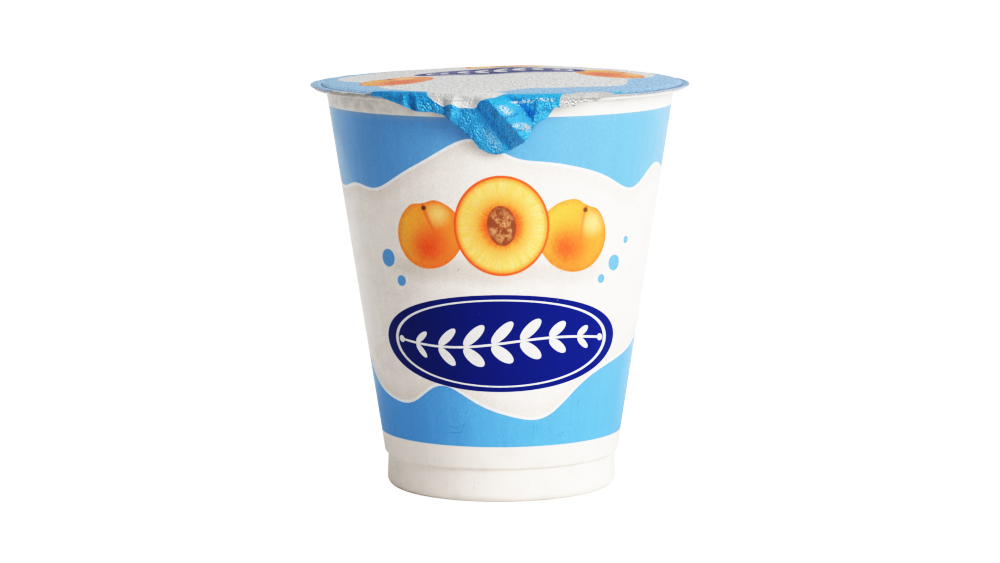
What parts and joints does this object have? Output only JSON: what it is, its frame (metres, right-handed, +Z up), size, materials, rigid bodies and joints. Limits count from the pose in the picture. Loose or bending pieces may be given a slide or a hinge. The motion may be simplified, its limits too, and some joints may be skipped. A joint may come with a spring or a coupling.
{
  "type": "yogurt pot",
  "caption": "Shut plastic yogurt pot with a tapered printed wall, a stepped foot and a heat-sealed foil lid whose pull tab is folded down.",
  "frame": {"origin": "on the pot's axis, in the plane of the standing ring", "axes": "+Z up along the pot's axis, the folded tab at the front towards -Y, +X to the right seen from the front"},
  "size_m": [0.097, 0.097, 0.1071],
  "materials": {
    "cup_plastic": "satin white thermoformed plastic, printed in light blue, white and navy",
    "lid_foil": "embossed printed foil, semi-gloss"
  },
  "bodies": {
    "root": {"cup": "cup_plastic", "foil_lid": "lid_foil"}
  },
  "joints": []
}
